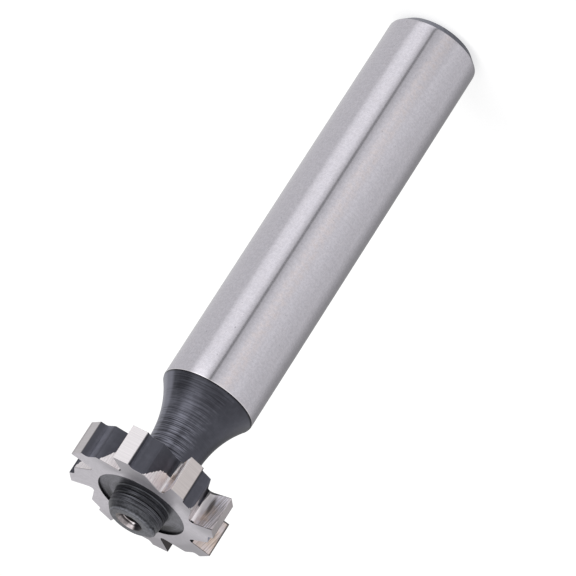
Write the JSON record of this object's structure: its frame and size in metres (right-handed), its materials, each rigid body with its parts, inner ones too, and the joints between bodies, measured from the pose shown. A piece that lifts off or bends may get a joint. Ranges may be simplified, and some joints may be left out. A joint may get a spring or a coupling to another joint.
{
  "type": "woodruff keyseat cutter",
  "caption": "Straight-shank side-and-face cutter that mills half-moon keyseats in shafts, with a toothed disc on a slim neck and a short front boss.",
  "frame": {"origin": "centre of the shank's flat end face, on which the cutter stands", "axes": "+Z along the tool's axis, from the shank's end up to the toothed head and its boss; +X through the cutting edge of one tooth"},
  "size_m": [0.017, 0.017, 0.0613],
  "materials": {
    "tool_steel": "shank, lands, rake faces and head faces ground bright; neck, tooth backs, recess and boss left with their black heat-treatment finish"
  },
  "bodies": {
    "root": {"keyseat_cutter": "tool_steel"}
  },
  "joints": []
}
